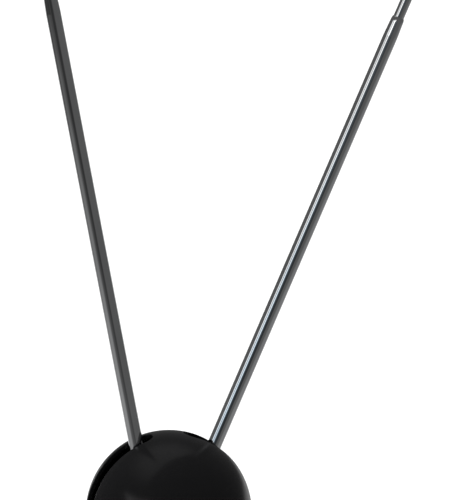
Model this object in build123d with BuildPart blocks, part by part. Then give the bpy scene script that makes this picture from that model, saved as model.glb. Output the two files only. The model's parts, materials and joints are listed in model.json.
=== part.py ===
from build123d import *
import math
import os

os.makedirs("parts", exist_ok=True)

# Set-top dipole antenna.  Millimetres, +Z up.  The origin is the centre of the round
# base on the table.  Both rods swing in the XZ plane, and the lead leaves towards +Y.

# ------------------------------------------------------------- ball and foot
ball_radius = 41.5
shell_wall = 2.0
neck_radius = 28.0
neck_band = 2.0
flare_radius = 16.0
foot_slope = 6.0              # degrees, fall of the foot's top towards its edge
foot_radius = 62.0
foot_rim_height = 15.39       # where the foot's sloping top reaches that radius
foot_edge_radius = 3.0
skirt_lift = 1.0              # foot edge above the table
seam_chamfer = 0.25

# ------------------------------------------------------------- fits
running_gap = 0.05            # radial clearance of every running fit
seat_gap = 0.02               # pieces pressed or brazed together
loose_gap = 0.5               # plates and discs dropped into a shell

# ------------------------------------------------------------- dome
slot_width = 11.2
slot_offset = 1.2             # the slots sit a little to the back, over the hinges' nuts
slot_start_angle = 11.0       # degrees from the top of the ball to the closed slot end
slot_edge_radius = 0.45
lap_height = 2.0
lap_gap = 0.1
post_offset = 20.0
post_radius = 3.5
post_bore_depth = 9.0

# ------------------------------------------------------------- carrier
shelf_drop = 5.0              # shelf top below the ball centre
shelf_thickness = 3.0
shelf_inner_radius = 31.0
carrier_thickness = 3.0
carrier_screw_ring = 33.5
carrier_boss_radius = 3.5
carrier_boss_length = 6.0
partition_thickness = 2.0
partition_half_length = 15.0
partition_height = 12.0
board_post_offset = 14.0
board_post_radius = 3.0
board_post_length = 9.4

# ------------------------------------------------------------- rod hinges
pivot_offset = 10.75          # hinge axes left and right of the centre plane
pivot_rise = 4.6              # hinge axes above the ball centre
tongue_thickness = 3.0
washer_thickness = 0.5
washer_radius = 4.0
clevis_sheet = 1.2
ear_radius = 5.5
clevis_half_length = 14.0
clevis_screw_offset = 9.5
pivot_screw_radius = 1.5
spring_washer_thickness = 0.8
spring_washer_radius = 3.0
spring_washer_split = 0.6
nut_across_flats = 5.5
nut_height = 2.4
tag_thickness = 0.5
tag_radius = 3.0
tag_tail = 9.5
tag_tail_width = 2.4
wire_on_tag = 4.5             # length of wire soldered along the tag's tail

# ------------------------------------------------------------- telescopic rods
lean_left = 10.35             # degrees from upright at rest
lean_right = 24.33
tube_outer_radius = [3.6, 2.7, 1.95, 1.3]
tube_wall = [0.4, 0.3, 0.3, 0.35]
collar_start = 6.5
collar_end = 9.0
plug_length = 10.0
outer_tube_top = 262.8        # mouth of the outer tube from the hinge axis
mouth_length = 3.5
mouth_wall = 0.3
nest_step = 4.0               # each tube stands this far out of the last when closed
base_step = 2.0               # closed tubes start this far above each other
rest_extension = [100.0, 60.0, 35.0]
sleeve_length = [8.0, 7.0, 6.0]
sleeve_slit = 0.8
tip_radius = 3.0
tip_height = 7.0
tip_shoulder = 1.2
tip_crown = 2.4
tip_spigot_length = 5.0

# ------------------------------------------------------------- base weight and closure
pad_radius = foot_radius - 6.0
pad_thickness = 2.0
plate_thickness = 2.0
plate_screw_ring = foot_radius - 8.5
plate_boss_radius = 4.0
ballast_radius = foot_radius - 16.0
ballast_thickness = 8.0
ballast_hub_radius = 24.0
ballast_hub_height = 9.0
ballast_screw_ring = ballast_radius - 12.0
ballast_bore_radius = 6.0
lead_notch_width = 9.0

# ------------------------------------------------------------- lead inlet
lead_radius = 2.0
lead_clearance = 0.1
inlet_height = 8.4
grommet_neck_radius = 3.2
grommet_flange_radius = 4.2
grommet_flange = 1.2
spot_face_depth = 0.6
grommet_inner_gap = 0.2        # the inner flange clears the skirt's round inside

# ------------------------------------------------------------- matching transformer
board_length = 38.0
board_width = 24.0
board_thickness = 1.6
core_length = 13.3
core_width = 10.0
core_height = 7.5
core_offset = -5.0            # from the board's middle, away from the terminals
core_bore_radius = 1.9
core_bore_offset = 3.3
turns = 3
turn_radius = 0.3
turn_pitch = 0.9
turn_standoff = 0.8
terminal_length = 10.0
terminal_width = 8.0
terminal_height = 9.0
terminal_offset = 7.5
pole_offset = 2.5
pole_radius = 1.7
lead_wire_radius = 0.7
lead_wire_bend = 3.0
wire_hole_offset = 24.0
wire_end_offset = 9.5
wire_shelf = 5.0              # height of the wires' lower run above the board

# ------------------------------------------------------------- screws
screw_radius = 1.5
screw_head_radius = 2.8
screw_head_height = 2.0
screw_point_clearance = 1.0

# ------------------------------------------------------------- levels worked out from the sizes above
flare_sweep = 90.0 - foot_slope
flare_end_radius = neck_radius + flare_radius * (1 - math.sin(math.radians(foot_slope)))
flare_end_height = foot_rim_height + (foot_radius - flare_end_radius) * math.tan(math.radians(foot_slope))
flare_height = flare_end_height + flare_radius * math.cos(math.radians(foot_slope))
neck_top = flare_height + neck_band
ball_height = neck_top + math.sqrt(ball_radius**2 - neck_radius**2)
ball_centre = Vector(0, 0, ball_height)
plate_bottom = pad_thickness
plate_top = plate_bottom + plate_thickness
ballast_top = plate_top + ballast_thickness
carrier_bottom = ball_height - shelf_drop
carrier_top = carrier_bottom + carrier_thickness
shelf_bottom = carrier_bottom - shelf_thickness
pivot_height = ball_height + pivot_rise
screw_hole_radius = screw_radius + running_gap
board_top = carrier_bottom - board_post_length
board_bottom = board_top - board_thickness
slot_start = ball_radius * math.sin(math.radians(slot_start_angle))
ear_face = tongue_thickness / 2 + running_gap + washer_thickness
ear_back = ear_face + clevis_sheet
tube_bore_radius = [outer - wall for outer, wall in zip(tube_outer_radius, tube_wall)]

sides = {"left": (-1, lean_left), "right": (1, lean_right)}


def foot_top_height(radius):
    """Height of the foot's sloping top at a radius."""
    return flare_end_height - (radius - flare_end_radius) * math.tan(math.radians(foot_slope))


def ring_points(radius, count, start_angle):
    """Points evenly spaced on a circle about the Z axis."""
    angles = [math.radians(start_angle + 360 / count * index) for index in range(count)]
    return [(radius * math.cos(angle), radius * math.sin(angle)) for angle in angles]


def pan_screw(seat, length, head_radius=screw_head_radius, shank_radius=screw_radius):
    """A cross-recessed pan-head screw.  The head stands on the seat plane."""
    with BuildPart() as screw:
        with BuildSketch(seat):
            Circle(head_radius)
        extrude(amount=screw_head_height)
        fillet(screw.edges().filter_by(GeomType.CIRCLE).sort_by(Axis(seat.origin, seat.z_dir))[-1],
               screw_head_height * 0.4)
        with BuildSketch(seat):
            Circle(shank_radius)
        extrude(amount=-length)
        with BuildSketch(seat.offset(screw_head_height)):
            Rectangle(head_radius * 1.1, head_radius * 0.25)
            Rectangle(head_radius * 0.25, head_radius * 1.1)
        extrude(amount=-screw_head_height * 0.5, mode=Mode.SUBTRACT)
    return screw.part


def flat_screw(face, length):
    """A countersunk screw, its head flush with the face plane and its point behind it."""
    cone_depth = screw_head_radius - screw_radius
    with BuildPart() as screw:
        with BuildSketch(face):
            Circle(screw_head_radius)
        with BuildSketch(face.offset(-cone_depth)):
            Circle(screw_radius)
        loft()
        with BuildSketch(face.offset(-cone_depth)):
            Circle(screw_radius)
        extrude(amount=cone_depth - length)
        with BuildSketch(face):
            Rectangle(screw_head_radius * 1.1, screw_head_radius * 0.25)
            Rectangle(screw_head_radius * 0.25, screw_head_radius * 1.1)
        extrude(amount=-cone_depth * 0.6, mode=Mode.SUBTRACT)
    return screw.part


# ============================================================= base shells

def rod_slots():
    """Plan of the two open-ended slots, as seen from above."""
    slot_middle = slot_start + ball_radius / 2
    with Locations((slot_middle, slot_offset), (-slot_middle, slot_offset)):
        SlotOverall(ball_radius, slot_width)


# Dome cover: one moulded hemisphere, slotted left and right for the rods, with two screw posts.
post_points = [(0, post_offset), (0, -post_offset)]
with BuildPart() as dome_cover:
    with BuildSketch(Plane.XY.offset(carrier_top)):
        with Locations(post_points):
            Circle(post_radius)
    extrude(amount=ball_radius * 2)
    with Locations(ball_centre):
        Sphere(ball_radius - shell_wall / 2, mode=Mode.INTERSECT)
    with BuildSketch(Plane.XZ) as dome_section:
        with BuildLine():
            outside = CenterArc((0, ball_height), ball_radius, 0, 90)
            inside = CenterArc((0, ball_height), ball_radius - shell_wall, 0, 90)
            Line(outside @ 0, inside @ 0)
            Line(outside @ 1, inside @ 1)
        make_face()
        chamfer(dome_section.vertices().sort_by_distance((ball_radius, ball_height))[0], seam_chamfer)
    revolve(axis=Axis.Z)
    with BuildSketch(Plane.XY.offset(ball_height)):
        Circle(ball_radius - shell_wall / 2 + lap_gap / 2)
        Circle(ball_radius - shell_wall * 1.5, mode=Mode.SUBTRACT)
    extrude(amount=lap_height + lap_gap, mode=Mode.SUBTRACT)
    with BuildSketch(Plane.XY.offset(ball_height)):
        rod_slots()
    extrude(amount=ball_radius, mode=Mode.SUBTRACT)
    with BuildSketch(Plane.XY.offset(carrier_top)):
        with Locations(post_points):
            Circle(screw_hole_radius)
    extrude(amount=post_bore_depth, mode=Mode.SUBTRACT)
    slot_lips = dome_cover.edges().filter_by(
        lambda edge: abs(((edge @ 0.5) - ball_centre).length - ball_radius) < 0.01
        and (edge @ 0.5).Z > ball_height + lap_height
    )
    fillet(slot_lips, slot_edge_radius)
dome_cover.part.label = "dome_cover"
export_step(dome_cover.part, "parts/dome_cover.step")


def pedestal_outline(inset):
    """Half section of the lower ball, neck and foot, moved inwards by the inset."""
    ball_drop = math.sqrt((ball_radius - inset) ** 2 - (neck_radius - inset) ** 2)
    neck_angle = math.degrees(math.atan2(-ball_drop, neck_radius - inset))
    bowl = CenterArc((0, ball_height), ball_radius - inset, 0, neck_angle)
    neck = Line(bowl @ 1, (neck_radius - inset, flare_height))
    flare = JernArc(neck @ 1, (0, -1), flare_radius + inset, flare_sweep)
    foot_height = foot_top_height(foot_radius - inset) - inset / math.cos(math.radians(foot_slope))
    foot = Line(flare @ 1, (foot_radius - inset, foot_height))
    Polyline(foot @ 1, (foot_radius - inset, skirt_lift), (0, skirt_lift), (0, ball_height), bowl @ 0)
    return foot @ 1


plate_bore_end = foot_top_height(plate_screw_ring) - 2 * shell_wall
carrier_screw_points = ring_points(carrier_screw_ring, 4, 45)
plate_screw_points = ring_points(plate_screw_ring, 3, -90)
inlet_plane = Plane(origin=(0, foot_radius, inlet_height), x_dir=(1, 0, 0), z_dir=(0, 1, 0))

# Pedestal: lower half of the ball, neck and weighted foot in one moulding, open at the bottom.
with BuildPart() as pedestal:
    with BuildSketch(Plane.XZ) as outer_section:
        with BuildLine():
            foot_corner = pedestal_outline(0)
        make_face()
        fillet(outer_section.vertices().sort_by_distance(foot_corner)[0], foot_edge_radius)
        chamfer(outer_section.vertices().sort_by_distance((ball_radius, ball_height))[0], seam_chamfer)
    revolve(axis=Axis.Z)
    with BuildSketch(Plane.XZ):
        with BuildLine():
            pedestal_outline(shell_wall)
        make_face()
    revolve(axis=Axis.Z, mode=Mode.SUBTRACT)
    # shelf for the carrier, with four screw bosses under it
    with BuildSketch(Plane.XY.offset(shelf_bottom)):
        Circle(ball_radius - shell_wall / 2)
        Circle(shelf_inner_radius, mode=Mode.SUBTRACT)
    extrude(amount=shelf_thickness)
    with BuildSketch(Plane.XY.offset(shelf_bottom - carrier_boss_length)):
        with Locations(carrier_screw_points):
            Circle(carrier_boss_radius)
    extrude(amount=carrier_boss_length)
    # lap ring that centres the dome, open where the rods lie flat
    with BuildSketch(Plane.XY.offset(ball_height)):
        Circle(ball_radius - shell_wall / 2 - lap_gap / 2)
        Circle(ball_radius - shell_wall, mode=Mode.SUBTRACT)
    extrude(amount=lap_height)
    with BuildSketch(Plane.XY.offset(ball_height)):
        rod_slots()
    extrude(amount=lap_height, mode=Mode.SUBTRACT)
    # bosses for the bottom plate
    with BuildSketch(Plane.XY.offset(plate_top)):
        with Locations(plate_screw_points):
            Circle(plate_boss_radius)
    extrude(amount=foot_top_height(plate_screw_ring) - shell_wall / 2 - plate_top)
    # screw holes
    with BuildSketch(Plane.XY.offset(carrier_bottom)):
        with Locations(carrier_screw_points):
            Circle(screw_hole_radius)
    extrude(amount=-shelf_thickness - carrier_boss_length, mode=Mode.SUBTRACT)
    with BuildSketch(Plane.XY.offset(plate_top)):
        with Locations(plate_screw_points):
            Circle(screw_hole_radius)
    extrude(amount=plate_bore_end - plate_top, mode=Mode.SUBTRACT)
    # hole and spot face for the lead's grommet
    with BuildSketch(inlet_plane):
        Circle(grommet_neck_radius)
    extrude(amount=-2 * shell_wall, mode=Mode.SUBTRACT)
    with BuildSketch(inlet_plane.offset(-spot_face_depth)):
        Circle(grommet_flange_radius + running_gap)
    extrude(amount=2 * spot_face_depth, mode=Mode.SUBTRACT)
pedestal.part.label = "pedestal"
export_step(pedestal.part, "parts/pedestal.step")

# Grommet: soft sleeve for the lead, snapped into the skirt between its two flanges.
grommet_seat = -spot_face_depth
grommet_inner_seat = -shell_wall - grommet_inner_gap
with BuildPart() as lead_grommet:
    with BuildSketch(inlet_plane.offset(grommet_seat)):
        Circle(grommet_flange_radius)
    extrude(amount=grommet_flange)
    with BuildSketch(inlet_plane.offset(grommet_seat)):
        Circle(grommet_neck_radius)
    extrude(amount=grommet_inner_seat - grommet_seat)
    with BuildSketch(inlet_plane.offset(grommet_inner_seat)):
        Circle(grommet_flange_radius)
    extrude(amount=-grommet_flange)
    fillet(lead_grommet.edges().filter_by(GeomType.CIRCLE).sort_by(Axis.Y)[-1], grommet_flange * 0.4)
    with BuildSketch(inlet_plane.offset(grommet_seat + grommet_flange)):
        Circle(lead_radius + lead_clearance)
    extrude(amount=grommet_inner_seat - grommet_seat - 2 * grommet_flange, mode=Mode.SUBTRACT)
lead_grommet.part.label = "lead_grommet"
export_step(lead_grommet.part, "parts/lead_grommet.step")

# ============================================================= weighted bottom

# Bottom plate: pressed steel disc, countersunk for its own screws and for the ballast's.
ballast_screw_points = ring_points(ballast_screw_ring, 3, 30)
with BuildPart() as bottom_plate:
    with BuildSketch(Plane.XY.offset(plate_bottom)):
        Circle(foot_radius - shell_wall - loose_gap)
    extrude(amount=plate_thickness)
    for x, y in plate_screw_points + ballast_screw_points:
        with Locations(Plane(origin=(x, y, plate_bottom), z_dir=(0, 0, -1))):
            CounterSinkHole(screw_hole_radius, screw_head_radius + running_gap, plate_thickness, 90)
bottom_plate.part.label = "bottom_plate"
export_step(bottom_plate.part, "parts/bottom_plate.step")

# Ballast: cast-iron weight with a raised hub, a notch for the lead and three screw holes.
with BuildPart() as ballast_weight:
    with BuildSketch(Plane.XY.offset(plate_top)):
        Circle(ballast_radius)
    extrude(amount=ballast_thickness)
    with BuildSketch(Plane.XY.offset(ballast_top)):
        Circle(ballast_hub_radius)
    extrude(amount=ballast_hub_height)
    fillet(ballast_weight.edges().filter_by(GeomType.CIRCLE).sort_by(Axis.Z)[-1], 1.0)
    with BuildSketch(Plane.XY.offset(plate_top)):
        Circle(ballast_bore_radius)
        with Locations((0, (ballast_hub_radius + ballast_radius) / 2 + 1)):
            SlotOverall(ballast_radius, lead_notch_width, rotation=90)
    extrude(amount=ballast_thickness + ballast_hub_height, mode=Mode.SUBTRACT)
    with BuildSketch(Plane.XY.offset(plate_top)):
        with Locations(ballast_screw_points):
            Circle(screw_hole_radius)
    extrude(amount=ballast_thickness * 0.75, mode=Mode.SUBTRACT)
ballast_weight.part.label = "ballast_weight"
export_step(ballast_weight.part, "parts/ballast_weight.step")

# Base pad: rubber disc glued over the bottom plate.
with BuildPart() as base_pad:
    with BuildSketch(Plane.XY):
        Circle(pad_radius)
    extrude(amount=pad_thickness)
    fillet(base_pad.edges().group_by(Axis.Z)[0], pad_thickness * 0.25)
base_pad.part.label = "base_pad"
export_step(base_pad.part, "parts/base_pad.step")

# ============================================================= carrier and screws

wire_holes = [(sign * pivot_offset, wire_hole_offset) for sign, lean in sides.values()]
clevis_screw_points = [
    (sign * pivot_offset, end * clevis_screw_offset) for sign, lean in sides.values() for end in (-1, 1)
]
board_post_points = [(board_post_offset, 0), (-board_post_offset, 0)]

# Carrier: moulded insulating disc that holds both hinges, a partition between them, and two
# posts below for the transformer board.
with BuildPart() as carrier:
    with BuildSketch(Plane.XY.offset(carrier_bottom)):
        Circle(math.sqrt((ball_radius - shell_wall) ** 2 - shelf_drop**2) - loose_gap)
    extrude(amount=carrier_thickness)
    with BuildSketch(Plane.XY.offset(carrier_top)):
        Rectangle(partition_thickness, 2 * partition_half_length)
    extrude(amount=partition_height)
    fillet(carrier.edges().group_by(Axis.Z)[-1].filter_by(Axis.X), partition_height * 0.3)
    with BuildSketch(Plane.XY.offset(carrier_bottom)):
        with Locations(board_post_points):
            Circle(board_post_radius)
    extrude(amount=-board_post_length)
    with BuildSketch(Plane.XY.offset(carrier_top)):
        with Locations(carrier_screw_points + post_points + clevis_screw_points):
            Circle(screw_hole_radius)
        with Locations(wire_holes):
            Circle(2 * lead_wire_radius)
    extrude(amount=-carrier_thickness, mode=Mode.SUBTRACT)
    with BuildSketch(Plane.XY.offset(board_top)):
        with Locations(board_post_points):
            Circle(screw_hole_radius)
    extrude(amount=board_post_length * 0.8, mode=Mode.SUBTRACT)
carrier.part.label = "carrier"
export_step(carrier.part, "parts/carrier.step")

def screw_group(points, height, direction, length):
    """Equal pan screws at points of one level, their heads towards the direction."""
    with BuildPart() as group:
        for x, y in points:
            add(pan_screw(Plane(origin=(x, y, height), z_dir=(0, 0, direction)), length))
    return group.part


carrier_screws = screw_group(
    carrier_screw_points, carrier_top, 1, carrier_thickness + shelf_thickness + carrier_boss_length - 1
)
carrier_screws.label = "carrier_screws"
export_step(carrier_screws, "parts/carrier_screws.step")

dome_screws = screw_group(
    post_points, carrier_bottom, -1, carrier_thickness + post_bore_depth - screw_point_clearance
)
dome_screws.label = "dome_screws"
export_step(dome_screws, "parts/dome_screws.step")

with BuildPart() as plate_screws:
    for x, y in plate_screw_points:
        face = Plane(origin=(x, y, plate_bottom), z_dir=(0, 0, -1))
        add(flat_screw(face, plate_bore_end - plate_bottom - screw_point_clearance))
plate_screws.part.label = "plate_screws"
export_step(plate_screws.part, "parts/plate_screws.step")

with BuildPart() as ballast_screws:
    for x, y in ballast_screw_points:
        face = Plane(origin=(x, y, plate_bottom), z_dir=(0, 0, -1))
        add(flat_screw(face, plate_thickness + ballast_thickness * 0.75 - screw_point_clearance))
ballast_screws.part.label = "ballast_screws"
export_step(ballast_screws.part, "parts/ballast_screws.step")

# ============================================================= matching transformer and wires

wire_ends = [(sign * pivot_offset, wire_end_offset) for sign, lean in sides.values()]

# Board: drilled for its two screws and for the two wires from the rods.
with BuildPart() as balun_board:
    with BuildSketch(Plane.XY.offset(board_bottom)):
        RectangleRounded(board_length, board_width, 2.0)
        with Locations(board_post_points):
            Circle(screw_hole_radius, mode=Mode.SUBTRACT)
        with Locations(wire_ends):
            Circle(lead_wire_radius + running_gap, mode=Mode.SUBTRACT)
    extrude(amount=board_thickness)
balun_board.part.label = "balun_board"
export_step(balun_board.part, "parts/balun_board.step")

board_screws = screw_group(board_post_points, board_bottom, -1, board_thickness + board_post_length * 0.6)
board_screws.label = "board_screws"
export_step(board_screws, "parts/board_screws.step")

# Ferrite core: a block with two holes, glued under the board.
core_bore_height = board_bottom - core_height / 2
core_plane = Plane(
    origin=(0, core_offset + core_width / 2, core_bore_height), x_dir=(1, 0, 0), z_dir=(0, 1, 0)
)
with BuildPart() as balun_core:
    with BuildSketch(core_plane):
        RectangleRounded(core_length, core_height, core_height * 0.25)
        with Locations((core_bore_offset, 0), (-core_bore_offset, 0)):
            Circle(core_bore_radius, mode=Mode.SUBTRACT)
    extrude(amount=-core_width)
balun_core.part.label = "balun_core"
export_step(balun_core.part, "parts/balun_core.step")

# Winding: closed turns of enamelled wire through both holes of the core.
turn_reach = core_width / 2 + turn_standoff + turn_radius
with BuildPart() as balun_winding:
    for turn in range(turns):
        level = core_bore_height + (turn - (turns - 1) / 2) * turn_pitch
        with BuildLine(Plane.XY.offset(level)) as loop:
            FilletPolyline(
                (core_bore_offset, core_offset - turn_reach),
                (core_bore_offset, core_offset + turn_reach),
                (-core_bore_offset, core_offset + turn_reach),
                (-core_bore_offset, core_offset - turn_reach),
                radius=turn_standoff,
                close=True,
            )
        with BuildSketch(Plane(origin=loop.line @ 0, z_dir=loop.line % 0)):
            Circle(turn_radius)
        sweep()
balun_winding.part.label = "balun_winding"
export_step(balun_winding.part, "parts/balun_winding.step")

# Terminal block: two screw terminals for the lead, under the board.
terminal_face = board_bottom - terminal_height
pole_points = [(pole_offset, terminal_offset), (-pole_offset, terminal_offset)]
with BuildPart() as terminal_block:
    with BuildSketch(Plane.XY.offset(board_bottom)):
        with Locations((0, terminal_offset)):
            Rectangle(terminal_length, terminal_width)
    extrude(amount=-terminal_height)
    with BuildSketch(Plane.XY.offset(terminal_face)):
        with Locations(pole_points):
            Circle(pole_radius + running_gap)
    extrude(amount=terminal_height / 2, mode=Mode.SUBTRACT)
    with BuildSketch(
        Plane(
            origin=(0, terminal_offset + terminal_width / 2, terminal_face + terminal_height / 3),
            x_dir=(1, 0, 0),
            z_dir=(0, 1, 0),
        )
    ):
        with Locations((pole_offset, 0), (-pole_offset, 0)):
            Rectangle(2 * pole_radius, 2 * pole_radius)
    extrude(amount=-terminal_width / 2, mode=Mode.SUBTRACT)
terminal_block.part.label = "terminal_block"
export_step(terminal_block.part, "parts/terminal_block.step")

with BuildPart() as terminal_screws:
    with BuildSketch(Plane.XY.offset(terminal_face)):
        with Locations(pole_points):
            Circle(pole_radius)
            Rectangle(2 * pole_radius * 0.8, 0.5, mode=Mode.SUBTRACT)
    extrude(amount=1.0)
    with BuildSketch(Plane.XY.offset(terminal_face + 1.0)):
        with Locations(pole_points):
            Circle(pole_radius)
    extrude(amount=terminal_height / 2 - 1.0)
terminal_screws.part.label = "terminal_screws"
export_step(terminal_screws.part, "parts/terminal_screws.step")

# ============================================================= hinges, one left and one right

clevis_top = carrier_top + clevis_sheet
tag_top = clevis_top + tag_thickness
closed_bottom = [0.0] + [
    collar_end + plug_length + seat_gap + 1.0 + base_step * step for step in range(len(rest_extension))
]
closed_top = [outer_tube_top + nest_step * step for step in range(len(rest_extension) + 1)]

for side, (sign, lean) in sides.items():
    pivot = Vector(sign * pivot_offset, 0, pivot_height)
    hinge_front = Plane(origin=pivot, x_dir=(1, 0, 0), z_dir=(0, -1, 0))
    hinge_back = Plane(origin=pivot, x_dir=(1, 0, 0), z_dir=(0, 1, 0))

    # Clevis: plated steel base with two ears bent up around the hinge.
    with BuildPart() as clevis:
        with BuildSketch(Plane.XY.offset(carrier_top)):
            with Locations((pivot.X, 0)):
                RectangleRounded(2 * ear_radius, 2 * clevis_half_length, ear_radius * 0.5)
            with Locations((pivot.X, clevis_screw_offset), (pivot.X, -clevis_screw_offset)):
                Circle(screw_hole_radius, mode=Mode.SUBTRACT)
        extrude(amount=clevis_sheet)
        for ear_plane in (hinge_front, hinge_back):
            with BuildSketch(ear_plane.offset(ear_face)):
                Circle(ear_radius)
                with Locations((0, (carrier_top - pivot_height) / 2 * ear_plane.y_dir.Z)):
                    Rectangle(2 * ear_radius, pivot_height - carrier_top)
                Circle(pivot_screw_radius + running_gap, mode=Mode.SUBTRACT)
            extrude(amount=clevis_sheet)
    clevis.part.label = f"{side}_clevis"
    export_step(clevis.part, f"parts/{side}_clevis.step")

    # Friction washers: one each side of the rod's tongue.
    with BuildPart() as friction_washers:
        for washer_plane in (hinge_front, hinge_back):
            with BuildSketch(washer_plane.offset(ear_face - washer_thickness)):
                Circle(washer_radius)
                Circle(pivot_screw_radius + running_gap, mode=Mode.SUBTRACT)
            extrude(amount=washer_thickness)
    friction_washers.part.label = f"{side}_friction_washers"
    export_step(friction_washers.part, f"parts/{side}_friction_washers.step")

    # Hinge screw, spring washer and nut.
    stack = 2 * ear_back + spring_washer_thickness + nut_height
    pivot_screw = pan_screw(hinge_front.offset(ear_back), stack + screw_point_clearance)
    pivot_screw.label = f"{side}_pivot_screw"
    export_step(pivot_screw, f"parts/{side}_pivot_screw.step")

    with BuildPart() as spring_washer:
        with BuildSketch(hinge_back.offset(ear_back)):
            Circle(spring_washer_radius)
            Circle(screw_hole_radius, mode=Mode.SUBTRACT)
            with Locations((spring_washer_radius, 0)):
                Rectangle(2 * spring_washer_radius, spring_washer_split, mode=Mode.SUBTRACT)
        extrude(amount=spring_washer_thickness)
    spring_washer.part.label = f"{side}_spring_washer"
    export_step(spring_washer.part, f"parts/{side}_spring_washer.step")

    with BuildPart() as pivot_nut:
        with BuildSketch(hinge_back.offset(ear_back + spring_washer_thickness)):
            RegularPolygon(nut_across_flats / 2, 6, major_radius=False)
            Circle(screw_hole_radius, mode=Mode.SUBTRACT)
        extrude(amount=nut_height)
    pivot_nut.part.label = f"{side}_pivot_nut"
    export_step(pivot_nut.part, f"parts/{side}_pivot_nut.step")

    # Solder tag: under the rear clevis screw, its tail reaching back for the wire.
    with BuildPart() as solder_tag:
        with BuildSketch(Plane.XY.offset(clevis_top)):
            with Locations((pivot.X, clevis_screw_offset)):
                Circle(tag_radius)
            with Locations((pivot.X, clevis_screw_offset + tag_tail / 2)):
                Rectangle(tag_tail_width, tag_tail)
            with Locations((pivot.X, clevis_screw_offset)):
                Circle(screw_hole_radius, mode=Mode.SUBTRACT)
        extrude(amount=tag_thickness)
    solder_tag.part.label = f"{side}_solder_tag"
    export_step(solder_tag.part, f"parts/{side}_solder_tag.step")

    # Wire: from the tag, down through the carrier and forward to the board.
    wire_start = (pivot.X, clevis_screw_offset + tag_tail - wire_on_tag, tag_top + lead_wire_radius)
    with BuildPart() as lead_wire:
        with BuildLine():
            FilletPolyline(
                wire_start,
                (pivot.X, wire_hole_offset, tag_top + lead_wire_radius),
                (pivot.X, wire_hole_offset, board_top + wire_shelf),
                (pivot.X, wire_end_offset, board_top + wire_shelf),
                (pivot.X, wire_end_offset, board_bottom),
                radius=lead_wire_bend,
            )
        with BuildSketch(Plane(origin=wire_start, x_dir=(1, 0, 0), z_dir=(0, 1, 0))):
            Circle(lead_wire_radius)
        sweep()
    lead_wire.part.label = f"{side}_lead_wire"
    export_step(lead_wire.part, f"parts/{side}_lead_wire.step")

with BuildPart() as clevis_screws:
    for x, y in clevis_screw_points:
        seat_height = tag_top if y > 0 else clevis_top
        seat = Plane(origin=(x, y, seat_height), z_dir=(0, 0, 1))
        add(pan_screw(seat, seat_height - carrier_bottom))
clevis_screws.part.label = "clevis_screws"
export_step(clevis_screws.part, "parts/clevis_screws.step")

# ============================================================= rods, one left and one right


def rod_tube(section_plane, axis, outer, bore, mouth_radius, bottom, top):
    """A drawn tube whose upper end is rolled in to guide the next tube."""
    roll = top - mouth_length
    with BuildPart() as tube:
        with BuildSketch(section_plane):
            with BuildLine():
                side_wall = Line((outer, bottom), (outer, roll))
                shoulder = TangentArc(side_wall @ 1, (mouth_radius + mouth_wall, top), tangent=(0, 1))
                lip = Line(shoulder @ 1, (mouth_radius, top))
                inner_wall = Line((bore, bottom), (bore, roll))
                inner_shoulder = TangentArc(inner_wall @ 1, lip @ 1, tangent=(0, 1))
                Line(inner_wall @ 0, side_wall @ 0)
            make_face()
        revolve(axis=axis)
    return tube.part


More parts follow.
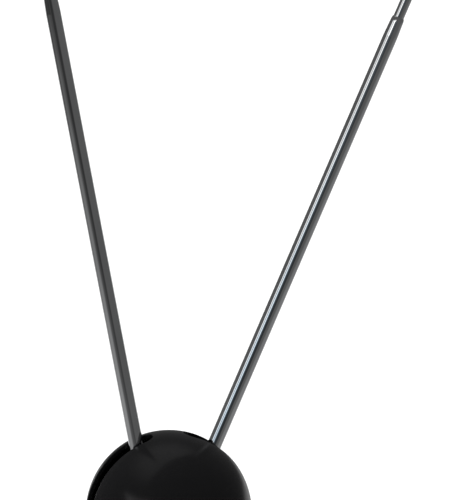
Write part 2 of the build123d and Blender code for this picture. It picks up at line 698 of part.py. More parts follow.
for side, (sign, lean) in sides.items():
    pivot = Vector(sign * pivot_offset, 0, pivot_height)
    tilt = math.radians(lean)
    rod_direction = Vector(sign * math.sin(tilt), 0, math.cos(tilt))
    rod_axis = Axis(pivot, rod_direction)
    rod_plane = Plane(origin=pivot, x_dir=(0, 1, 0), z_dir=rod_direction)
    section_plane = Plane(origin=pivot, x_dir=(0, 1, 0), z_dir=(math.cos(tilt), 0, -sign * math.sin(tilt)))
    hinge_plane = Plane(origin=pivot, x_dir=rod_direction, z_dir=(0, 1, 0))

    # Knuckle: turned brass end with a flat tongue for the hinge and a plug for the tube.
    with BuildPart() as knuckle:
        with BuildSketch(hinge_plane):
            Circle(tube_outer_radius[0])
            with Locations((collar_start / 2, 0)):
                Rectangle(collar_start, 2 * tube_outer_radius[0])
        extrude(amount=tongue_thickness / 2, both=True)
        with BuildSketch(rod_plane.offset(-tube_outer_radius[0])):
            Circle(tube_outer_radius[0])
        extrude(amount=tube_outer_radius[0] + collar_start, mode=Mode.INTERSECT)
        with BuildSketch(rod_plane.offset(collar_start)):
            Circle(tube_outer_radius[0])
        extrude(amount=collar_end - collar_start)
        with BuildSketch(rod_plane.offset(collar_end)):
            Circle(tube_bore_radius[0] - seat_gap)
        extrude(amount=plug_length)
        with BuildSketch(hinge_plane):
            Circle(pivot_screw_radius + running_gap)
        extrude(amount=tongue_thickness, both=True, mode=Mode.SUBTRACT)
    knuckle.part.label = f"{side}_knuckle"
    export_step(knuckle.part, f"parts/{side}_knuckle.step")

    # Outer tube, brazed on the knuckle's plug.
    outer_tube = rod_tube(
        section_plane,
        rod_axis,
        tube_outer_radius[0],
        tube_bore_radius[0],
        tube_outer_radius[1] + running_gap,
        collar_end,
        outer_tube_top,
    )
    outer_tube.label = f"{side}_tube_1"
    export_step(outer_tube, f"parts/{side}_tube_1.step")

    # Inner tubes, each with a split friction sleeve round its lower end.
    for number in range(1, len(tube_outer_radius)):
        pulled_out = sum(rest_extension[:number])
        bottom = closed_bottom[number] + pulled_out
        top = closed_top[number] + pulled_out
        outer = tube_outer_radius[number]
        bore = tube_bore_radius[number]
        if number + 1 < len(tube_outer_radius):
            inner_tube = rod_tube(
                section_plane, rod_axis, outer, bore, tube_outer_radius[number + 1] + running_gap, bottom, top
            )
        else:
            with BuildPart() as last_tube:
                with BuildSketch(rod_plane.offset(bottom)):
                    Circle(outer)
                    Circle(bore, mode=Mode.SUBTRACT)
                extrude(amount=top - bottom)
            inner_tube = last_tube.part
        inner_tube.label = f"{side}_tube_{number + 1}"
        export_step(inner_tube, f"parts/{side}_tube_{number + 1}.step")

        with BuildPart() as sleeve:
            with BuildSketch(rod_plane.offset(bottom)):
                Circle(tube_bore_radius[number - 1] - running_gap)
                Circle(outer + seat_gap, mode=Mode.SUBTRACT)
                with Locations((tube_bore_radius[number - 1], 0)):
                    Rectangle(tube_bore_radius[number - 1], sleeve_slit, mode=Mode.SUBTRACT)
            extrude(amount=sleeve_length[number - 1])
        sleeve.part.label = f"{side}_sleeve_{number + 1}"
        export_step(sleeve.part, f"parts/{side}_sleeve_{number + 1}.step")

    # Tip: turned button pressed into the end of the thinnest tube.
    tip_seat = closed_top[-1] + sum(rest_extension)
    spigot = tube_bore_radius[-1] - seat_gap
    tip_corner = (tip_radius, tip_seat + tip_height)
    with BuildPart() as tip:
        with BuildSketch(section_plane) as tip_section:
            with BuildLine():
                Polyline(
                    (0, tip_seat - tip_spigot_length),
                    (spigot, tip_seat - tip_spigot_length),
                    (spigot, tip_seat),
                    (tube_outer_radius[-1], tip_seat),
                    (tip_radius, tip_seat + tip_shoulder),
                    (tip_radius, tip_seat + tip_height),
                    (0, tip_seat + tip_height),
                    close=True,
                )
            make_face()
            fillet(tip_section.vertices().sort_by_distance(tip_corner)[0], tip_crown)
        revolve(axis=rod_axis)
    tip.part.label = f"{side}_tip"
    export_step(tip.part, f"parts/{side}_tip.step")
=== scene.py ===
import json
import math

import bpy
import numpy as np
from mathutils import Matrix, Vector


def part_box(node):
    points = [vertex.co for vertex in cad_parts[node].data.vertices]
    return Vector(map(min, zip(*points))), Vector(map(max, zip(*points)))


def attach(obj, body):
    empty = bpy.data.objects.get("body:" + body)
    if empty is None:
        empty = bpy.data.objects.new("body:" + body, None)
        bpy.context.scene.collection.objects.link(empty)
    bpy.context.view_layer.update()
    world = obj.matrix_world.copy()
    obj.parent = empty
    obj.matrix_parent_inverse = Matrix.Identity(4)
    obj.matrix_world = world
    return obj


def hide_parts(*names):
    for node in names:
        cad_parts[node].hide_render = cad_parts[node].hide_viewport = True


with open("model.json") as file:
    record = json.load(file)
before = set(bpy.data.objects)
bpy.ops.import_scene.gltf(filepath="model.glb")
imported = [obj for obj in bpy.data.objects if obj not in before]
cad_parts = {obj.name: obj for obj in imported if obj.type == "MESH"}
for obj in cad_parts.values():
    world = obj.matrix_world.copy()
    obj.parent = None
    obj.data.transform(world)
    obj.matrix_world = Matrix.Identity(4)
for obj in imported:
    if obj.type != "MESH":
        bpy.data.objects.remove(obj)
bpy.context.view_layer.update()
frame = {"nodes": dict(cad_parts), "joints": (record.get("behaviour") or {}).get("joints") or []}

joints = {joint["name"]: joint for joint in frame["joints"]}
sides = ("left", "right")

# ------------------------------------------------------------------ Camera
# A long lens, about a metre and a half from the ball.  It stands a little to the left of
# the antenna's front and looks slightly down, so the ball sits at the bottom of the frame.
dome_low, dome_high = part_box("dome_cover")
ball_radius = (dome_high.y - dome_low.y) / 2
ball_centre = Vector((0, 0, dome_high.z - ball_radius))
camera_reach = 36.2 * ball_radius
stand_left = math.radians(16.0)
stand_up = math.radians(17.0)
look_right = math.radians(17.197)
look_down = math.radians(11.989)
camera = bpy.data.objects.new("camera", bpy.data.cameras.new("camera"))
bpy.context.scene.collection.objects.link(camera)
stand_out = math.cos(stand_up)
sight_out = math.cos(look_down)
stand = Vector((-math.sin(stand_left) * stand_out, -math.cos(stand_left) * stand_out, math.sin(stand_up)))
sight = Vector((math.sin(look_right) * sight_out, math.cos(look_right) * sight_out, -math.sin(look_down)))
camera.location = ball_centre + camera_reach * stand
camera.rotation_euler = sight.to_track_quat("-Z", "Y").to_euler()
camera.data.sensor_width = 36.0
camera.data.lens = 215.9
camera.data.clip_end = 50.0
bpy.context.scene.camera = camera

# ------------------------------------------------------------------ Room and light
# A white floor under a wide soft overhead light.  Polished pieces mirror the room instead.
# It is dim all round, with a two-pane window to the left, a ceiling lit at the back, and two
# low screens behind.
bpy.context.scene.view_settings.view_transform = "Standard"

floor_half = 9.0
floor_mesh = bpy.data.meshes.new("floor")
corner_signs = ((-1, -1), (1, -1), (1, 1), (-1, 1))
floor_corners = [(along_x * floor_half, along_y * floor_half, 0) for along_x, along_y in corner_signs]
floor_mesh.from_pydata(floor_corners, [], [(0, 1, 2, 3)])
floor = bpy.data.objects.new("floor", floor_mesh)
bpy.context.scene.collection.objects.link(floor)
floor.visible_glossy = False
floor_paint = bpy.data.materials.new("floor_paint")
floor_paint.use_nodes = True
floor_shader = floor_paint.node_tree.nodes["Principled BSDF"]
floor_shader.inputs["Base Color"].default_value = (0.9, 0.9, 0.9, 1)
floor_shader.inputs["Roughness"].default_value = 1.0
floor_mesh.materials.append(floor_paint)

ceiling_lamp = bpy.data.objects.new("ceiling_lamp", bpy.data.lights.new("ceiling_lamp", "SUN"))
bpy.context.scene.collection.objects.link(ceiling_lamp)
ceiling_lamp.data.energy = 4.2
ceiling_lamp.data.angle = math.radians(70)
ceiling_lamp.rotation_euler = (math.radians(-14), math.radians(-12), 0)
ceiling_lamp.visible_glossy = False

room = bpy.data.worlds.new("room")
bpy.context.scene.world = room
room.use_nodes = True
room_nodes = room.node_tree.nodes
room_links = room.node_tree.links


def room_math(operation, first, second=0.0):
    """One Math node of the room's sky; an input is a socket or a number."""
    step = room_nodes.new("ShaderNodeMath")
    step.operation = operation
    for place, value in enumerate((first, second)):
        if isinstance(value, bpy.types.NodeSocket):
            room_links.new(value, step.inputs[place])
        else:
            step.inputs[place].default_value = value
    return step.outputs[0]


def rising(value, middle, soft):
    """Smooth step from 0 to 1 round the middle value, over twice the soft width."""
    step = room_nodes.new("ShaderNodeMapRange")
    step.interpolation_type = "SMOOTHSTEP"
    room_links.new(value, step.inputs["Value"])
    step.inputs["From Min"].default_value = middle - soft
    step.inputs["From Max"].default_value = middle + soft
    return step.outputs[0]


def between(value, low, high, soft):
    """1 between two values and 0 outside, with soft edges."""
    return room_math("SUBTRACT", rising(value, low, soft), rising(value, high, soft))


sky_place = room_nodes.new("ShaderNodeTexCoord").outputs["Generated"]
sky_axes = room_nodes.new("ShaderNodeSeparateXYZ")
room_links.new(sky_place, sky_axes.inputs[0])
sky_x, sky_y, sky_z = sky_axes.outputs
turn_left = room_math(
    "DEGREES", room_math("ARCTAN2", room_math("MULTIPLY", sky_x, -1.0), room_math("MULTIPLY", sky_y, -1.0))
)
height = room_math("DEGREES", room_math("ARCSINE", sky_z))

# each patch: turn to the left from the front, height, softness of each (degrees), brightness
room_patches = {
    "window_near_pane": (45, 60, 11, 26, 3, 3, 1.15),
    "window_far_pane": (70, 84, 11, 26, 3, 3, 1.10),
    "window_fanlight": (46, 92, 26, 30, 3, 2, 0.85),
    "window_casement": (31, 52, 20.5, 26, 3, 1.5, 1.20),
    "dark_doorway": (4, 46, -22, 8, 10, 7, -0.07),
    "left_dado": (52, 185, -19, 0, 12, 4, -0.075),
    "left_floor": (60, 185, -95, -24, 14, 5, 0.18),
    "right_floor": (-185, -25, -95, -20, 15, 8, 0.11),
    "back_screen": (148, 186, -36, -3, 6, 5, 0.75),
    "right_screen": (-152, -118, -36, -3, 6, 5, 0.50),
}
wall_glow = 0.105
brightness = room_math("ADD", wall_glow)
for low_turn, high_turn, low, high, soft_turn, soft, glow in room_patches.values():
    width = between(turn_left, low_turn, high_turn, soft_turn)
    patch = room_math("MULTIPLY", width, between(height, low, high, soft))
    brightness = room_math("ADD", brightness, room_math("MULTIPLY", patch, glow))
# the ceiling is lit from the back left, up to an edge that runs over the middle of the room
ceiling_glow = 0.34
towards_back = room_math("ADD", room_math("MULTIPLY", sky_x, -0.48), room_math("MULTIPLY", sky_y, 0.88))
ceiling = room_math("MULTIPLY", rising(towards_back, 0.02, 0.05), rising(height, 56, 16))
brightness = room_math("ADD", brightness, room_math("MULTIPLY", ceiling, ceiling_glow))
# the window's sill is a little cool, and the room itself is seen as plain white
room_seen = room_nodes.new("ShaderNodeLightPath").outputs["Is Camera Ray"]
room_tint = room_nodes.new("ShaderNodeMix")
room_tint.data_type = "RGBA"
room_tint.inputs["A"].default_value = (1, 1, 1, 1)
room_tint.inputs["B"].default_value = (0.74, 0.88, 1, 1)
cool_sill = room_math("MULTIPLY", between(turn_left, 10, 92, 8), between(height, -6, 17, 5))
room_links.new(room_math("SUBTRACT", cool_sill, room_seen), room_tint.inputs["Factor"])
room_tint.clamp_factor = True
room_links.new(room_tint.outputs["Result"], room_nodes["Background"].inputs["Color"])
room_strength = room_math("MAXIMUM", brightness, room_seen)
room_links.new(room_strength, room_nodes["Background"].inputs["Strength"])

# ------------------------------------------------------------------ Dome cover and pedestal
# Two injection mouldings in black plastic.  The mould was polished, so they come out smooth,
# with a faint orange peel, slow waves over the thick places and a few hairline scuffs.


def finish(name, colour, roughness, metallic=0.0, place="Object"):
    """A new material with its plain values set, and its nodes ready for a pattern."""
    material = bpy.data.materials.new(name)
    material.use_nodes = True
    nodes = material.node_tree.nodes
    shader = nodes["Principled BSDF"]
    shader.inputs["Base Color"].default_value = (*colour, 1)
    shader.inputs["Roughness"].default_value = roughness
    shader.inputs["Metallic"].default_value = metallic
    if place == "Object":
        source = nodes.new("ShaderNodeTexCoord").outputs["Object"]
    else:
        attribute = nodes.new("ShaderNodeAttribute")
        attribute.attribute_name = place
        source = attribute.outputs["Vector"]
    return material, shader, source


def grain(material, source, scale, stretch=(1, 1, 1), detail=3.0, kind="ShaderNodeTexNoise"):
    """A pattern that repeats about scale times a metre, stretched along each axis."""
    nodes = material.node_tree.nodes
    mapping = nodes.new("ShaderNodeMapping")
    mapping.inputs["Scale"].default_value = [scale * part for part in stretch]
    pattern = nodes.new(kind)
    pattern.inputs["Scale"].default_value = 1.0
    if kind == "ShaderNodeTexNoise":
        pattern.inputs["Detail"].default_value = detail
    material.node_tree.links.new(source, mapping.inputs["Vector"])
    material.node_tree.links.new(mapping.outputs["Vector"], pattern.inputs["Vector"])
    return pattern.outputs[0]


def spread(material, value, low, high, out_low, out_high):
    """The value between low and high, carried over to the range from out_low to out_high."""
    step = material.node_tree.nodes.new("ShaderNodeMapRange")
    material.node_tree.links.new(value, step.inputs["Value"])
    for socket, number in zip(("From Min", "From Max", "To Min", "To Max"), (low, high, out_low, out_high)):
        step.inputs[socket].default_value = number
    return step.outputs[0]


def emboss(material, shader, value, depth, strength=1.0):
    """Raises the surface by depth metres where the value is 1, over any relief that is there already."""
    links = material.node_tree.links
    bump = material.node_tree.nodes.new("ShaderNodeBump")
    bump.inputs["Distance"].default_value = depth
    bump.inputs["Strength"].default_value = strength
    links.new(value, bump.inputs["Height"])
    if shader.inputs["Normal"].is_linked:
        links.new(shader.inputs["Normal"].links[0].from_socket, bump.inputs["Normal"])
    links.new(bump.outputs["Normal"], shader.inputs["Normal"])


def tint(material, shader, value, first, second):
    """Colours the surface from the first colour to the second as the value goes from 0 to 1."""
    mix = material.node_tree.nodes.new("ShaderNodeMix")
    mix.data_type = "RGBA"
    mix.inputs["A"].default_value = (*first, 1)
    mix.inputs["B"].default_value = (*second, 1)
    material.node_tree.links.new(value, mix.inputs["Factor"])
    material.node_tree.links.new(mix.outputs["Result"], shader.inputs["Base Color"])


def polish(material, shader, value, low, high):
    """Roughness from low to high as the value goes from 0 to 1."""
    material.node_tree.links.new(spread(material, value, 0.3, 0.7, low, high), shader.inputs["Roughness"])


def dress(material, *names):
    """Gives CAD nodes this material in place of their plain one."""
    for name in names:
        mesh = frame["nodes"][name].data
        mesh.materials.clear()
        mesh.materials.append(material)


def moulded_black():
    """Polished black moulding: orange peel, broad gloss changes, hairline scuffs and a little dust."""
    material, shader, source = finish("moulded_black", (0.0062, 0.0062, 0.0066), 0.2)
    shader.inputs["Specular IOR Level"].default_value = 0.26
    emboss(material, shader, grain(material, source, 420, detail=2), 0.00002, 0.3)
    emboss(material, shader, grain(material, source, 45, detail=1), 0.0002, 0.2)
    scuffs = grain(material, source, 55, stretch=(1, 9, 14), detail=6)
    emboss(material, shader, spread(material, scuffs, 0.66, 0.70, 0, 1), 0.00001, 0.3)
    polish(material, shader, grain(material, source, 28, detail=5), 0.14, 0.22)
    dust = spread(material, grain(material, source, 1500, detail=2), 0.72, 0.80, 0, 1)
    tint(material, shader, dust, (0.0062, 0.0062, 0.0066), (0.016, 0.016, 0.0155))
    return material


dress(moulded_black(), "dome_cover", "pedestal")

# ------------------------------------------------------------------ Rod tubes
# Drawn brass tubes, polished lengthwise and chromium plated.  Each mouth is rolled in to
# guide the next tube, and the last few millimetres below it are swaged to a slight taper.
mouth_gap = 0.00005
roll_length = 0.0035
lip = 0.0001
swage_length = 0.0070
swage_depth = 0.00026
walls = {1: 0.0004, 2: 0.0003, 3: 0.0003, 4: 0.00035}


def along_axis(name, origin, axis):
    """Lowest and highest place of a CAD node along an axis, and its largest distance from it."""
    vertices = frame["nodes"][name].data.vertices
    points = np.empty(len(vertices) * 3)
    vertices.foreach_get("co", points)
    offset = points.reshape(-1, 3) - np.array(origin)
    level = offset @ np.array(axis)
    radius = np.linalg.norm(offset - level[:, None] * np.array(axis), axis=1)
    return level.min(), level.max(), radius.max()


def turned(name, profile, origin, axis, across, closed=True, segments=96):
    """A surface of revolution: origin + r cos(a) across + r sin(a) (axis x across) + h axis, where the
    profile gives the radius r and the height h, and the angle a goes once round.  A closed profile is a
    ring, an open one starts and ends on the axis.  "turning" keeps (r cos a, r sin a, h) for patterns."""
    radius, level = np.asarray(profile, float).T
    angle = np.linspace(0, 2 * np.pi, segments, endpoint=False)
    out = radius[:, None]
    local = np.stack(np.broadcast_arrays(out * np.cos(angle), out * np.sin(angle), level[:, None]), axis=-1)
    third = np.cross(axis, across)
    points = np.array(origin) + local @ np.array([across, third, axis])
    index = np.arange(points.shape[0] * segments).reshape(-1, segments)
    index[radius < 1e-9] = index[radius < 1e-9][:, :1]
    lower, upper = (index, np.roll(index, -1, axis=0)) if closed else (index[:-1], index[1:])
    quads = np.stack([lower, np.roll(lower, -1, axis=1), np.roll(upper, -1, axis=1), upper], axis=-1)
    quads = quads.reshape(-1, 4)
    low_pole = quads[:, 0] == quads[:, 1]
    high_pole = quads[:, 2] == quads[:, 3]
    triangles = np.concatenate([quads[low_pole][:, [0, 2, 3]], quads[high_pole][:, [0, 1, 2]]])
    quads = quads[~(low_pole | high_pole)]
    used = np.unique(np.concatenate([triangles.ravel(), quads.ravel()]))
    faces = np.searchsorted(used, triangles).tolist() + np.searchsorted(used, quads).tolist()
    mesh = bpy.data.meshes.new(name)
    mesh.from_pydata(points.reshape(-1, 3)[used].tolist(), [], faces)
    turning = mesh.attributes.new("turning", "FLOAT_VECTOR", "POINT")
    turning.data.foreach_set("vector", local.reshape(-1, 3)[used].ravel())
    mesh.polygons.foreach_set("use_smooth", [True] * len(mesh.polygons))
    mesh.set_sharp_from_angle(angle=math.radians(40))
    piece = bpy.data.objects.new(name, mesh)
    bpy.context.scene.collection.objects.link(piece)
    return piece


def tube_outline(bottom, top, outer, bore, mouth=None):
    """Ring outline of a tube: up the outside, over the mouth and down the bore.  Below the mouth the outside
    tapers in a straight line.  The rolled mouth is a quarter ellipse from there in to the lip, and another
    inside it."""
    edge = 0.00008
    bend = 0.0001
    if mouth is None:
        return [(bore, bottom), (outer - edge, bottom), (outer, bottom + edge), (outer, top - edge),
                (outer - edge, top), (bore, top)]
    slim = outer - swage_depth
    roll = top - roll_length
    step = roll - swage_length
    outline = [(bore, bottom), (outer - edge, bottom), (outer, bottom + edge)]
    outline += [(outer, step), (outer, step + bend)]
    outline += [(outer - swage_depth * 0.02, step + swage_length * 0.08)]
    sweep = np.linspace(0, np.pi / 2, 14)
    rim = mouth + lip
    outline += zip(rim + (slim - rim) * np.cos(sweep), roll + roll_length * np.sin(sweep))
    outline += [(mouth + lip * 0.3, top - lip * 0.3), (mouth, top - lip)]
    inside = roll_length - 3 * lip
    back = sweep[::-1]
    outline += zip(mouth + (bore - mouth) * np.cos(back), roll + inside * np.sin(back))
    return outline


def plated_chrome():
    """Chromium plate over lengthwise polishing lines, with faint handling haze and a few tiny pits."""
    material, shader, source = finish("plated_chrome", (0.80, 0.81, 0.82), 0.05, 1.0, "turning")
    lines = grain(material, source, 2600, stretch=(1, 1, 0.012), detail=3)
    emboss(material, shader, lines, 0.000004, 0.35)
    emboss(material, shader, grain(material, source, 140, stretch=(1, 1, 0.35), detail=1), 0.00002, 0.25)
    pits = spread(material, grain(material, source, 900, detail=2), 0.74, 0.78, 0, -1)
    emboss(material, shader, pits, 0.00002, 0.6)
    polish(material, shader, grain(material, source, 70, stretch=(1, 1, 0.5), detail=5), 0.035, 0.075)
    haze = spread(material, grain(material, source, 45, stretch=(1, 1, 0.6), detail=4), 0.35, 0.75, 0, 1)
    tint(material, shader, haze, (0.83, 0.84, 0.85), (0.70, 0.71, 0.725))
    return material


chrome = plated_chrome()
rods = {}
for side in sides:
    pivot = Vector(joints[f"{side}_swing"]["pos_m"])
    rod_axis = Vector(joints[f"{side}_slide_2"]["axis"]).normalized()
    rods[side] = (pivot, rod_axis)
    spans = {number: along_axis(f"{side}_tube_{number}", pivot, rod_axis) for number in walls}
    for number, (bottom, top, outer) in spans.items():
        mouth = spans[number + 1][2] + mouth_gap if number + 1 in spans else None
        outline = tube_outline(bottom, top, outer, outer - walls[number], mouth)
        tube = turned(f"{side}_rod_section_{number}", outline, pivot, rod_axis, (0, 1, 0))
        tube.data.materials.append(chrome)
        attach(tube, f"{side}_arm" if number == 1 else f"{side}_section_{number}")
        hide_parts(f"{side}_tube_{number}")

# ------------------------------------------------------------------ Tip buttons
# A small turned knob on the end of each rod, to pull it out by and to guard the eye.  It is
# pressed into the thinnest tube, then plated with it.
for side in sides:
    pivot, rod_axis = rods[side]
    seat = along_axis(f"{side}_tube_4", pivot, rod_axis)[1]
    bottom, top, outer = along_axis(f"{side}_tip", pivot, rod_axis)
    stem = along_axis(f"{side}_tube_4", pivot, rod_axis)[2]
    spigot = stem - walls[4] - 0.00002
    crown = 0.0026
    shoulder = 0.0012
    groove = seat + 2 * shoulder
    groove_floor = outer - 0.00025
    quarter_turn = np.linspace(0, np.pi / 2, 14)
    shape = [(0, bottom), (spigot, bottom), (spigot, seat), (stem, seat)]
    shape += zip(stem + (outer - stem) * np.sin(quarter_turn), seat + shoulder * (1 - np.cos(quarter_turn)))
    shape += [(outer, groove), (groove_floor, groove + 0.0002), (groove_floor, groove + 0.0005)]
    shape += [(outer, groove + 0.0007)]
    shape += zip(outer * np.cos(quarter_turn), top - crown * (1 - np.sin(quarter_turn)))
    shape[-1] = (0, top)
    button = turned(f"{side}_tip_button", shape, pivot, rod_axis, (0, 1, 0), closed=False, segments=64)
    button.data.materials.append(chrome)
    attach(button, f"{side}_section_4")
    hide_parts(f"{side}_tip")

# ------------------------------------------------------------------ Knuckles and sleeves
# The knuckles are turned from brass bar and milled flat for the hinge.  The sleeves are split
# rings of phosphor bronze that grip the bore of the next tube, bright where they rub.


def metal(name, colour, worn, roughness, scale, stretch, lines_depth, stain=0.35):
    """A worked metal: tool or rolling lines, uneven polish, and patches of a second, worn colour."""
    material, shader, source = finish(name, colour, roughness, 1.0)
    emboss(material, shader, grain(material, source, scale, stretch=stretch, detail=4), lines_depth, 0.5)
    emboss(material, shader, grain(material, source, 180, detail=2), 0.00003, 0.3)
    polish(material, shader, grain(material, source, 240, detail=5), roughness * 0.75, roughness * 1.3)
    patches = grain(material, source, 160, detail=6)
    tint(material, shader, spread(material, patches, stain, 0.75, 0, 1), colour, worn)
    return material


knuckle_brass = metal(
    "knuckle_brass", (0.72, 0.52, 0.24), (0.46, 0.30, 0.13), 0.24, 1800, (1, 1, 0.2), 0.00001
)
sleeve_bronze = metal(
    "sleeve_bronze", (0.66, 0.38, 0.22), (0.38, 0.20, 0.12), 0.28, 2400, (1, 1, 0.1), 0.00001
)
for side in sides:
    dress(knuckle_brass, f"{side}_knuckle")
    dress(sleeve_bronze, *[f"{side}_sleeve_{number}" for number in (2, 3, 4)])

# ------------------------------------------------------------------ Clevises, nuts and plate
# Folded and blanked from sheet steel, then zinc plated.  The plating shows its crystals as
# faint patches, with rolling lines under them.


def zinc_plate(name, colour, shade, roughness):
    """Zinc plating: a cell pattern of slightly different greys over fine rolling lines."""
    material, shader, source = finish(name, colour, roughness, 1.0)
    cells = grain(material, source, 420, kind="ShaderNodeTexVoronoi")
    tint(material, shader, spread(material, cells, 0.1, 0.8, 0, 1), colour, shade)
    emboss(material, shader, grain(material, source, 1500, stretch=(0.06, 1, 1), detail=4), 0.00001, 0.4)
    emboss(material, shader, cells, 0.00001, 0.25)
    polish(material, shader, grain(material, source, 120, detail=6), roughness * 0.8, roughness * 1.25)
    return material


clevis_zinc = zinc_plate("clevis_zinc", (0.62, 0.63, 0.64), (0.50, 0.51, 0.53), 0.30)
plate_zinc = zinc_plate("plate_zinc", (0.60, 0.59, 0.54), (0.50, 0.48, 0.42), 0.34)
dress(clevis_zinc, *[f"{side}_{part}" for side in sides for part in ("clevis", "pivot_nut")])
dress(plate_zinc, "bottom_plate")

# ------------------------------------------------------------------ Screws
# Cold-headed steel screws with cross recesses.  Those of the hinges and terminals are
# nickel plated, the self-tapping ones are blackened and oiled.
bright_screw = metal(
    "bright_screw", (0.66, 0.63, 0.57), (0.50, 0.47, 0.41), 0.20, 2600, (1, 1, 1), 0.000006
)
black_screw = metal(
    "black_screw", (0.055, 0.055, 0.06), (0.16, 0.15, 0.145), 0.33, 2200, (1, 1, 1), 0.00001, 0.5
)
dress(bright_screw, "left_pivot_screw", "right_pivot_screw", "terminal_screws")
dress(black_screw, "dome_screws", "carrier_screws", "clevis_screws")
dress(black_screw, "board_screws", "plate_screws", "ballast_screws")

# ------------------------------------------------------------------ Hinge washers
# White nylon discs keep the hinge stiff but smooth.  Beside each is a split spring washer
# of blued steel, with a temper colour that goes from straw to blue.
nylon, nylon_shader, nylon_place = finish("nylon", (0.72, 0.70, 0.63), 0.38)
nylon_shader.inputs["Subsurface Weight"].default_value = 0.15
nylon_shader.inputs["Subsurface Scale"].default_value = 0.0015
emboss(nylon, nylon_shader, grain(nylon, nylon_place, 900, detail=3), 0.00002, 0.4)
tint(nylon, nylon_shader, grain(nylon, nylon_place, 260, detail=5), (0.76, 0.74, 0.68), (0.62, 0.59, 0.50))
dress(nylon, "left_friction_washers", "right_friction_washers")
blued_spring = metal(
    "blued_spring", (0.10, 0.13, 0.22), (0.28, 0.20, 0.10), 0.24, 1900, (1, 1, 0.3), 0.00001, 0.45
)
dress(blued_spring, "left_spring_washer", "right_spring_washer")

# ------------------------------------------------------------------ Solder tags and joints
# Ring tags of tinned brass under the hinge nuts.  Each lead is laid along the tag's tail and
# fixed with a smooth fillet of solder, dull where it froze last.
tag_tin = metal(
    "tag_tin", (0.68, 0.66, 0.60), (0.58, 0.47, 0.28), 0.27, 1400, (0.3, 1, 1), 0.00001, 0.55
)
dress(tag_tin, "left_solder_tag", "right_solder_tag")
solder = metal("solder", (0.60, 0.60, 0.61), (0.36, 0.36, 0.38), 0.26, 700, (1, 1, 1), 0.00003)


def solder_bead(name, centre, radii, rings=18, segments=28):
    """An ellipsoid, waved a little: centre + (a cos u sin v, b sin u sin v, c cos v), each radius grown by
    6 percent of sin(3u + 1) sin(2v), with u round the bead and v from pole to pole."""
    round_turn = np.linspace(0, 2 * np.pi, segments, endpoint=False)
    down = np.linspace(0, np.pi, rings)[1:-1, None]
    grown = 1 + 0.06 * np.sin(3 * round_turn + 1) * np.sin(2 * down)
    side_x = np.cos(round_turn) * np.sin(down)
    side_y = np.sin(round_turn) * np.sin(down)
    side_z = np.cos(down) * np.ones_like(round_turn)
    belt = np.stack([side_x, side_y, side_z], axis=-1) * grown[..., None]
    unit_points = np.concatenate([[[0, 0, 1]], belt.reshape(-1, 3), [[0, 0, -1]]])
    points = unit_points * np.array(radii) + np.array(centre)
    index = 1 + np.arange((rings - 2) * segments).reshape(rings - 2, segments)
    beside = np.roll(index, -1, axis=1)
    quads = np.stack([index[:-1], index[1:], beside[1:], beside[:-1]], axis=-1).reshape(-1, 4)
    last = len(points) - 1
    top_fan = np.stack([np.zeros(segments, int), index[0], beside[0]], axis=-1)
    low_fan = np.stack([np.full(segments, last), beside[-1], index[-1]], axis=-1)
    mesh = bpy.data.meshes.new(name)
    mesh.from_pydata(points.tolist(), [], top_fan.tolist() + quads.tolist() + low_fan.tolist())
    mesh.polygons.foreach_set("use_smooth", [True] * len(mesh.polygons))
    bead = bpy.data.objects.new(name, mesh)
    bpy.context.scene.collection.objects.link(bead)
    bead.data.materials.append(solder)
    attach(bead, "base")
    return bead


for side in sides:
    tag_low, tag_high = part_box(f"{side}_solder_tag")
    wire_low, wire_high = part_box(f"{side}_lead_wire")
    joint_y = tag_high.y - 0.0022
    wire_x = (wire_low.x + wire_high.x) / 2
    bead = solder_bead(f"{side}_tag_joint", (wire_x, joint_y, wire_high.z - 0.0007), (0.0011, 0.0021, 0.0010))

# ------------------------------------------------------------------ Lead wires
# Stranded copper in soft PVC, drawn from one grey-white reel.  The insulation is slightly
# wavy from the strands inside and has picked up fingermarks.
insulation, insulation_shader, insulation_place = finish("insulation", (0.50, 0.48, 0.43), 0.36)
lay = grain(insulation, insulation_place, 320, stretch=(1, 0.5, 0.5), detail=1)
emboss(insulation, insulation_shader, lay, 0.00006, 0.4)
wire_marks = grain(insulation, insulation_place, 210, detail=5)
wire_marks = spread(insulation, wire_marks, 0.4, 0.8, 0, 1)
tint(insulation, insulation_shader, wire_marks, (0.52, 0.50, 0.45), (0.33, 0.30, 0.25))
dress(insulation, "left_lead_wire", "right_lead_wire")

# ------------------------------------------------------------------ Carrier
# Moulded in brown phenolic filled with wood flour, so the surface is mottled and a little
# rough, with fine flow lines.
phenolic, phenolic_shader, phenolic_place = finish("phenolic", (0.045, 0.020, 0.011), 0.36)
mottle = grain(phenolic, phenolic_place, 620, stretch=(1, 0.4, 1), detail=6)
wood_flour = spread(phenolic, mottle, 0.35, 0.7, 0, 1)
tint(phenolic, phenolic_shader, wood_flour, (0.030, 0.013, 0.008), (0.085, 0.038, 0.018))
emboss(phenolic, phenolic_shader, mottle, 0.00003, 0.35)
polish(phenolic, phenolic_shader, grain(phenolic, phenolic_place, 90, detail=4), 0.30, 0.44)
dress(phenolic, "carrier")

# ------------------------------------------------------------------ Transformer board
# Paper laminate with a ferrite core, a winding of enamelled copper and a moulded terminal
# block.  The board shows its fibres, the core its sintered grain.
laminate, laminate_shader, laminate_place = finish("laminate", (0.32, 0.19, 0.075), 0.33)
fibres = grain(laminate, laminate_place, 900, stretch=(0.15, 1, 1), detail=5)
paper = spread(laminate, fibres, 0.3, 0.75, 0, 1)
tint(laminate, laminate_shader, paper, (0.25, 0.14, 0.05), (0.42, 0.27, 0.12))
emboss(laminate, laminate_shader, fibres, 0.00001, 0.4)
dress(laminate, "balun_board")

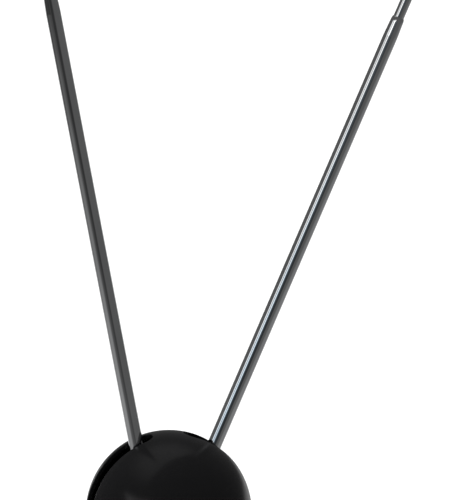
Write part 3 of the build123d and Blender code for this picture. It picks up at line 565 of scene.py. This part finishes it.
ferrite, ferrite_shader, ferrite_place = finish("ferrite", (0.035, 0.034, 0.036), 0.55)
sinter = grain(ferrite, ferrite_place, 2200, detail=3)
emboss(ferrite, ferrite_shader, sinter, 0.00003, 0.6)
tint(ferrite, ferrite_shader, sinter, (0.026, 0.025, 0.027), (0.062, 0.060, 0.062))
dress(ferrite, "balun_core")

enamel, enamel_shader, enamel_place = finish("enamel", (0.40, 0.13, 0.045), 0.22, 0.85)
enamel_shader.inputs["Coat Weight"].default_value = 0.8
enamel_shader.inputs["Coat Roughness"].default_value = 0.12
varnish = grain(enamel, enamel_place, 700, detail=4)
tint(enamel, enamel_shader, varnish, (0.46, 0.16, 0.05), (0.28, 0.085, 0.03))
emboss(enamel, enamel_shader, varnish, 0.00002, 0.3)
dress(enamel, "balun_winding")

terminal_nylon, terminal_shader, terminal_place = finish("terminal_nylon", (0.55, 0.55, 0.50), 0.42)
speckle = grain(terminal_nylon, terminal_place, 1300, detail=4)
emboss(terminal_nylon, terminal_shader, speckle, 0.00002, 0.5)
tint(terminal_nylon, terminal_shader, speckle, (0.60, 0.60, 0.55), (0.48, 0.47, 0.42))
dress(terminal_nylon, "terminal_block")

# ------------------------------------------------------------------ Ballast
# A sand-cast iron weight, knocked out of the mould and painted once with thin black varnish,
# which has worn off the high grains.
cast_iron, iron_shader, iron_place = finish("cast_iron", (0.05, 0.048, 0.046), 0.6, 0.35)
sand = grain(cast_iron, iron_place, 650, detail=6)
emboss(cast_iron, iron_shader, sand, 0.0003, 0.6)
emboss(cast_iron, iron_shader, grain(cast_iron, iron_place, 120, detail=2), 0.0006, 0.3)
worn_grains = spread(cast_iron, sand, 0.45, 0.7, 0, 1)
tint(cast_iron, iron_shader, worn_grains, (0.028, 0.027, 0.027), (0.17, 0.155, 0.14))
dress(cast_iron, "ballast_weight")

# ------------------------------------------------------------------ Rubber pad and grommet
# Black rubber, moulded against a matt tool.  The pad's underside is lightly pebbled to grip
# the table, and both have a grey bloom with age.
rubber, rubber_shader, rubber_place = finish("rubber", (0.018, 0.018, 0.018), 0.72)
rubber_shader.inputs["Specular IOR Level"].default_value = 0.3
rubber_shader.inputs["Sheen Weight"].default_value = 0.08
pebbles = grain(rubber, rubber_place, 900, kind="ShaderNodeTexVoronoi")
emboss(rubber, rubber_shader, pebbles, 0.00006, 0.5)
bloom = grain(rubber, rubber_place, 70, detail=6)
grey_bloom = spread(rubber, bloom, 0.4, 0.8, 0, 1)
tint(rubber, rubber_shader, grey_bloom, (0.014, 0.014, 0.014), (0.036, 0.036, 0.035))
polish(rubber, rubber_shader, bloom, 0.62, 0.8)
dress(rubber, "base_pad", "lead_grommet")
